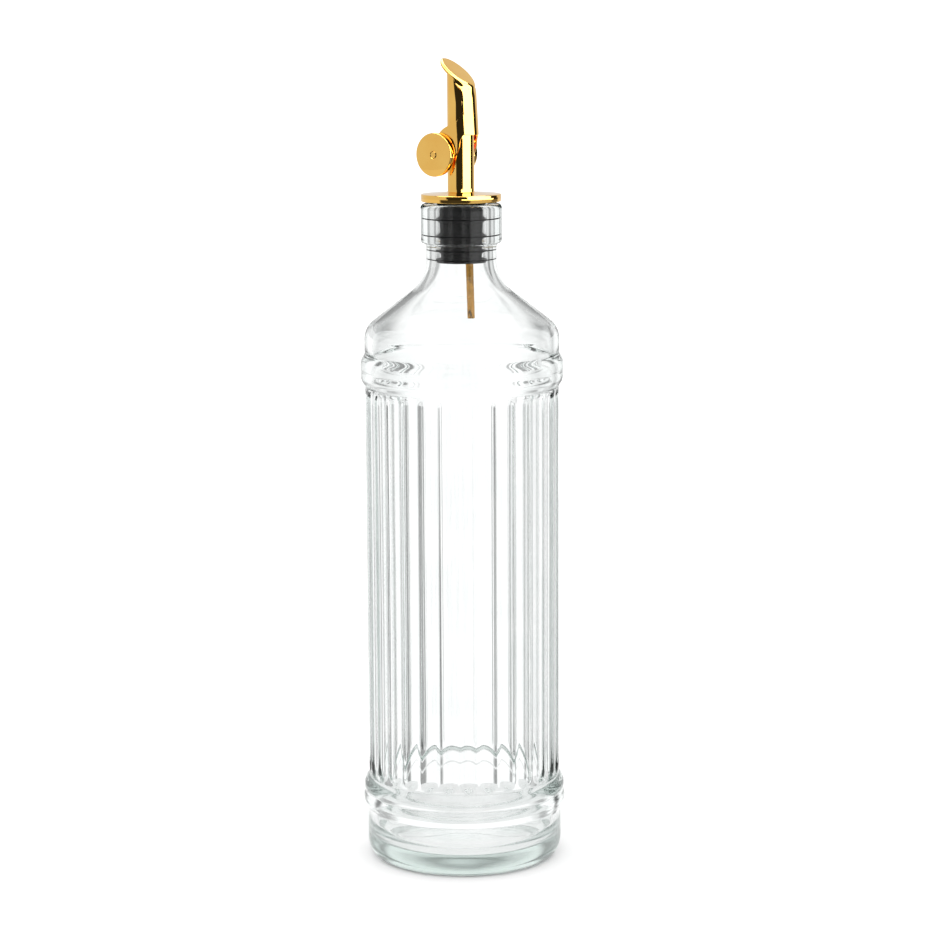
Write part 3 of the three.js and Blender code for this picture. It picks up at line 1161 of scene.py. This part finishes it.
@dataclass
class Weights:
    """The two round weights and the pins that hold them to the arms."""

    x: float = -6.5
    z: float = 268.0
    radius: float = 8.1
    inner: float = 6.1
    outer: float = 8.4
    edge: float = 0.3
    pin: float = 1.3
    gap: float = 0.09
    pin_inner: float = 5.0
    pin_outer: float = 8.45

    def lay(self, bm: bmesh.types.BMesh, side: int) -> None:
        """Lays a piece turned about Z on its side, at the weights' place.

        Args:
            bm: The mesh.
            side: -1 for the near weight, 1 for the far one.
        """
        turn_over = Matrix.Rotation(-side * math.pi / 2, 4, "X")
        place = Matrix.Translation((self.x * MM, 0, self.z * MM))
        bmesh.ops.transform(bm, matrix=place @ turn_over, verts=bm.verts)
        bmesh.ops.recalc_face_normals(bm, faces=bm.faces)

    def build(self, finishes: Finishes) -> list[bpy.types.Object]:
        """Builds both weights and both pins.

        Args:
            finishes: The materials.

        Returns:
            The four pieces.
        """
        hole = self.pin + self.gap
        rim = self.radius - self.edge
        disc = [
            (hole, self.inner), (rim, self.inner),
            *arc((rim, self.inner + self.edge), (self.edge, self.edge), -90, 0, 4)[1:],
            *arc((rim, self.outer - self.edge), (self.edge, self.edge), 0, 90, 4),
            (hole + 0.1, self.outer), (hole, self.outer - 0.1),
        ]
        pin = [
            (0, self.pin_inner), (self.pin, self.pin_inner), (self.pin, self.pin_outer - 0.2),
            (self.pin - 0.12, self.pin_outer - 0.06), (self.pin - 0.35, self.pin_outer),
            (0, self.pin_outer),
        ]
        made = []
        for side, word in ((-1, "near"), (1, "far")):
            bm = bmesh.new()
            turn(bm, disc, 128, closed=True)
            self.lay(bm, side)
            made.append(piece(f"disc_{word}", bm, finishes.gold, Body.FLAP, [f"weight_{word}"]))
            bm = bmesh.new()
            turn(bm, pin, 48)
            self.lay(bm, side)
            made.append(piece(f"pin_{word}", bm, finishes.gold, Body.FLAP, [f"rivet_{word}"]))
        return made


@dataclass
class Cards:
    """A ring of cards round the bottle that only reflections or refractions see.

    Attributes:
        name: The ring's name.
        radius: Its radius in metres.
        low: Height of its lower edge.
        high: Height of its upper edge.
        stops: For each direction in degrees, counted round from +X, the brightness from there on.
        soft: Width in degrees of the fade between two brightnesses.
        reflected: Whether reflections see it, or else light through the glass.
    """

    name: str
    radius: float
    low: float
    high: float
    stops: tuple[tuple[float, float], ...]
    soft: float
    reflected: bool

    def material(self) -> bpy.types.Material:
        """Builds the cards' glow, which changes with the direction alone.

        Returns:
            The material.
        """
        material, tree, output = new_material(self.name)
        coords = add_node(tree, "ShaderNodeTexCoord")
        split = add_node(tree, "ShaderNodeSeparateXYZ", {"Vector": coords.outputs["Object"]})
        angle = add_node(
            tree, "ShaderNodeMath", {0: split.outputs["Y"], 1: split.outputs["X"]}, operation="ARCTAN2",
        )
        share = add_node(
            tree, "ShaderNodeMapRange",
            {"Value": angle.outputs[0], "From Min": -math.pi, "From Max": math.pi},
        )
        ramp = add_node(tree, "ShaderNodeValToRGB", {"Fac": share.outputs["Result"]})
        peak = max(level for _, level in self.stops)
        fade = self.soft / 720
        marks = []
        before = self.stops[-1][1]
        for degrees, level in self.stops:
            place = (degrees + 180) / 360
            marks.append((max(place - fade, 0), before))
            marks.append((min(place + fade, 1), level))
            before = level
        set_ramp(ramp, [(place, (level / peak, level / peak, level / peak, 1)) for place, level in marks])
        glow = add_node(
            tree, "ShaderNodeEmission", {"Color": ramp.outputs["Color"], "Strength": peak},
        )
        tree.links.new(glow.outputs["Emission"], output.inputs["Surface"])
        return material

    def build(self) -> None:
        """Builds the ring."""
        bm = bmesh.new()
        ring = bmesh.ops.create_circle(bm, cap_ends=False, segments=180, radius=self.radius)["verts"]
        bmesh.ops.translate(bm, vec=(0, 0, self.low), verts=ring)
        raised = bmesh.ops.extrude_edge_only(bm, edges=bm.edges[:])["geom"]
        verts = [item for item in raised if isinstance(item, bmesh.types.BMVert)]
        bmesh.ops.translate(bm, vec=(0, 0, self.high - self.low), verts=verts)
        studio_light(self.name, bm, self.material(), self.reflected)


def glowing_disc(name: str, radius: float, height: float, level: float, reflected: bool) -> None:
    """Lays a flat round light that only reflections or refractions see.

    Args:
        name: Its name.
        radius: Its radius in metres.
        height: Its height in metres.
        level: Its brightness.
        reflected: Whether reflections see it, or else light through the glass.
    """
    bm = bmesh.new()
    bmesh.ops.create_circle(bm, cap_ends=True, segments=96, radius=radius)
    bmesh.ops.translate(bm, vec=(0, 0, height), verts=bm.verts)
    material, tree, output = new_material(name)
    glow = add_node(tree, "ShaderNodeEmission", {"Strength": level})
    tree.links.new(glow.outputs["Emission"], output.inputs["Surface"])
    studio_light(name, bm, material, reflected)


def studio_light(name: str, bm: bmesh.types.BMesh, material: bpy.types.Material, reflected: bool) -> None:
    """Makes a studio object that the camera and diffuse light don't see.

    Args:
        name: Its name.
        bm: Its mesh, which is freed.
        material: Its glow.
        reflected: Whether reflections see it, or else light through the glass.
    """
    obj = new_object(name, bm, material)
    obj.visible_camera = False
    obj.visible_diffuse = False
    obj.visible_shadow = False
    obj.visible_volume_scatter = False
    obj.visible_glossy = reflected
    obj.visible_transmission = not reflected


@dataclass
class Studio:
    """Pale floor, even white light, cards and the camera."""

    azimuth: float = 36.6
    distance: float = 1.061
    height: float = 0.326
    down: float = 9.47
    right: float = 0.0028
    roll: float = 0.3
    lens: float = 108.8
    light: float = 1.5
    mirror_radius: float = 0.15
    mirror_heights: tuple[float, ...] = (0.0, 0.2395, 0.2455, 0.267, 0.29, 0.42)
    gold_mid: float = 0.82
    gold_bright: float = 5.2
    gold_dark: float = 0.03
    top_light_share: float = 0.87
    top_centre_share: float = 0.25
    top_centre: float = 0.3
    glow_height: float = -0.0001
    floor_glow: float = 0.95
    behind_radius: float = 0.09
    behind_white: float = 1.22
    shoulder_low: float = 0.168
    shoulder_high: float = 0.198
    shoulder_lift: float = 0.6
    neck_white: float = 0.85
    neck_top: float = 0.30
    neck_lift: float = 0.16
    white_past: float = 102.0
    bars: tuple[tuple[float, float, float], ...] = (
        (-165, -153, 0.2), (-122, -102, 0.25), (-84, -52, 0.12), (-35, -18, 0.25), (16, 28, 0.2),
        (62, 74, 0.15), (91, 102, 0.34), (150, 168, 0.32),
    )

    def floor(self) -> None:
        """Lays the floor, and the glow that it has where it is seen through the glass."""
        material, tree, output = new_material("matte_white_sweep")
        coords = add_node(tree, "ShaderNodeTexCoord")
        cloud = add_node(tree, "ShaderNodeTexNoise", {"Vector": coords.outputs["Object"], "Scale": 3.0})
        tone = add_node(tree, "ShaderNodeValToRGB", {"Fac": cloud.outputs["Fac"]})
        set_ramp(tone, [(0.3, srgb("#F6F6F6")), (0.7, srgb("#F8F8F8"))])
        shader = add_node(
            tree, "ShaderNodeBsdfPrincipled",
            {"Base Color": tone.outputs["Color"], "Roughness": 0.9, "Specular IOR Level": 0.0},
        )
        tree.links.new(shader.outputs["BSDF"], output.inputs["Surface"])
        bm = bmesh.new()
        bmesh.ops.create_grid(bm, x_segments=4, y_segments=4, size=40.0)
        bmesh.ops.translate(bm, vec=(0, 0, -0.0002), verts=bm.verts)
        new_object("floor", bm, material)
        glowing_disc("lit_floor", self.behind_radius, self.glow_height, self.floor_glow, False)

    def world(self) -> None:
        """Sets an even white light all round."""
        world = bpy.data.worlds.new("soft white studio")
        world.use_nodes = True
        tree = world.node_tree
        tree.nodes.clear()
        output = tree.nodes.new("ShaderNodeOutputWorld")
        sky = add_node(tree, "ShaderNodeBackground", {"Color": (1, 1, 1, 1), "Strength": self.light})
        tree.links.new(sky.outputs["Background"], output.inputs["Surface"])
        bpy.context.scene.world = world

    def round_the_camera(self, *marks: tuple[float, float]) -> tuple[tuple[float, float], ...]:
        """Turns card stops that are given from the camera into directions from +X.

        Args:
            *marks: Degrees to the right of the camera, and the brightness from there on.

        Returns:
            The stops in rising order.
        """
        turned = [((self.azimuth - 90 + offset + 180) % 360 - 180, level) for offset, level in marks]
        return tuple(sorted(turned))

    def cards(self) -> list[Cards]:
        """Lays out what the gold and the glass mirror, and what stands behind the glass.

        Returns:
            The rings of cards.
        """
        mid, bright, dark = self.gold_mid, self.gold_bright, self.gold_dark
        spout = self.round_the_camera((-41, dark), (18, bright), (90, dark), (120, mid))
        shell = self.round_the_camera((-41, dark), (13, bright), (90, dark), (120, mid))
        edge = self.round_the_camera((-37, dark), (2, bright), (101, dark), (126, mid))
        low = self.round_the_camera((-60, 0.06), (25, 0.7), (95, 0.2), (125, 0.9))
        behind, lifted, neck = [], [], []
        for start, end, level in self.bars:
            behind += [(start, level), (end, self.behind_white)]
            share = self.shoulder_lift
            lifted += [(start, level * (1 - share) + self.behind_white * share), (end, self.behind_white)]
            beyond = self.behind_white if end == self.white_past else self.neck_white
            neck += [(start, level + self.neck_lift), (end, beyond)]
        mirrored = [
            ("mirrored_low", low, 6.0), ("mirrored_disc_edge", edge, 3.0), ("mirrored_spout", spout, 3.0),
            ("mirrored_shell", shell, 3.0), ("mirrored_lid", spout, 3.0),
        ]
        seen_through = [
            ("behind_barrel", behind, 7.0), ("behind_shoulder", lifted, 14.0), ("behind_neck", neck, 7.0),
        ]
        behind_heights = (self.glow_height, self.shoulder_low, self.shoulder_high, self.neck_top)
        rings = []
        for cards, radius, heights, reflected in (
            (mirrored, self.mirror_radius, self.mirror_heights, True),
            (seen_through, self.behind_radius, behind_heights, False),
        ):
            for (name, stops, soft), start, end in zip(cards, heights, heights[1:]):
                rings.append(Cards(name, radius, start, end, tuple(stops), soft, reflected))
        return rings

    def camera(self) -> None:
        """Sets up the camera at the photograph's viewing angle."""
        heading = math.radians(self.azimuth)
        data = bpy.data.cameras.new("camera")
        data.lens = self.lens
        data.sensor_width = 36.0
        data.clip_start = 0.05
        data.clip_end = 200.0
        obj = bpy.data.objects.new("camera", data)
        bpy.context.scene.collection.objects.link(obj)
        across = Vector((math.cos(heading), math.sin(heading), 0))
        back = Vector((math.sin(heading), -math.cos(heading), 0))
        place = back * self.distance + across * self.right + Vector((0, 0, self.height))
        obj.matrix_world = (
            Matrix.Translation(place)
            @ Matrix.Rotation(heading, 4, "Z")
            @ Matrix.Rotation(math.radians(90 - self.down), 4, "X")
            @ Matrix.Rotation(math.radians(-self.roll), 4, "Z")
        )
        bpy.context.scene.camera = obj

    def keep_for_gold(self, gold: bpy.types.Material) -> None:
        """Lets the strong cards light the gold pieces alone, so that the glass in front stays clear.

        Args:
            gold: The finish of those pieces.
        """
        plated = bpy.data.collections.new("plated_pieces")
        for obj in bpy.context.scene.objects:
            if obj.type == "MESH" and gold.name in obj.data.materials:
                plated.objects.link(obj)
        for obj in bpy.context.scene.objects:
            if obj.name.startswith("mirrored_") and obj.name != "mirrored_low":
                obj.light_linking.receiver_collection = plated

    def build(self, gold: bpy.types.Material) -> None:
        """Builds the studio and sets how light and colour are handled.

        Args:
            gold: The finish of the gold pieces.
        """
        self.floor()
        self.world()
        for ring in self.cards():
            ring.build()
        top = self.mirror_heights[-1]
        discs = (
            ("mirrored_top_dark", 1.0, self.gold_dark),
            ("mirrored_top_light", self.top_light_share, self.gold_bright),
            ("mirrored_top_centre", self.top_centre_share, self.top_centre),
        )
        for order, (name, share, level) in enumerate(discs):
            glowing_disc(name, self.mirror_radius * share, top - order * MM, level, True)
        self.keep_for_gold(gold)
        self.camera()
        scene = bpy.context.scene
        scene.view_settings.view_transform = "Standard"
        scene.cycles.max_bounces = 32
        scene.cycles.transmission_bounces = 28
        scene.cycles.glossy_bounces = 12
        scene.cycles.transparent_max_bounces = 16
        scene.cycles.use_denoising = True
        LOG.info("studio: camera at azimuth %.1f", self.azimuth)


def main() -> None:
    """Builds the bottle, the pourer and the studio in order."""
    logging.basicConfig(level=logging.INFO, format="%(name)s: %(message)s")
    # The breather tube's plating is the gold made darker and browner as painted shade for the dim neck, and
    # a little rougher.
    shaded_tube_plating = GoldPlating(
        name="shaded_gold_plated_tube", warm="#B07F34", light="#BF8F42", smudge_mm=3.0,
        roughness_low=0.03, roughness_high=0.07,
    )
    finishes = Finishes(
        glass=PressedGlass().material(), gold=GoldPlating().material(),
        shaded_tube_gold=shaded_tube_plating.material(), rubber=MouldedRubber().material(),
    )
    parts: list[Callable[[Finishes], object]] = [
        GlassBody().build, Stopper().build, Breather().build, Flange().build, Spout().build,
        FlapSheet().build, Weights().build,
    ]
    for build in parts:
        build(finishes)
    Studio().build(finishes.gold)


if __name__ == "__main__":
    main()
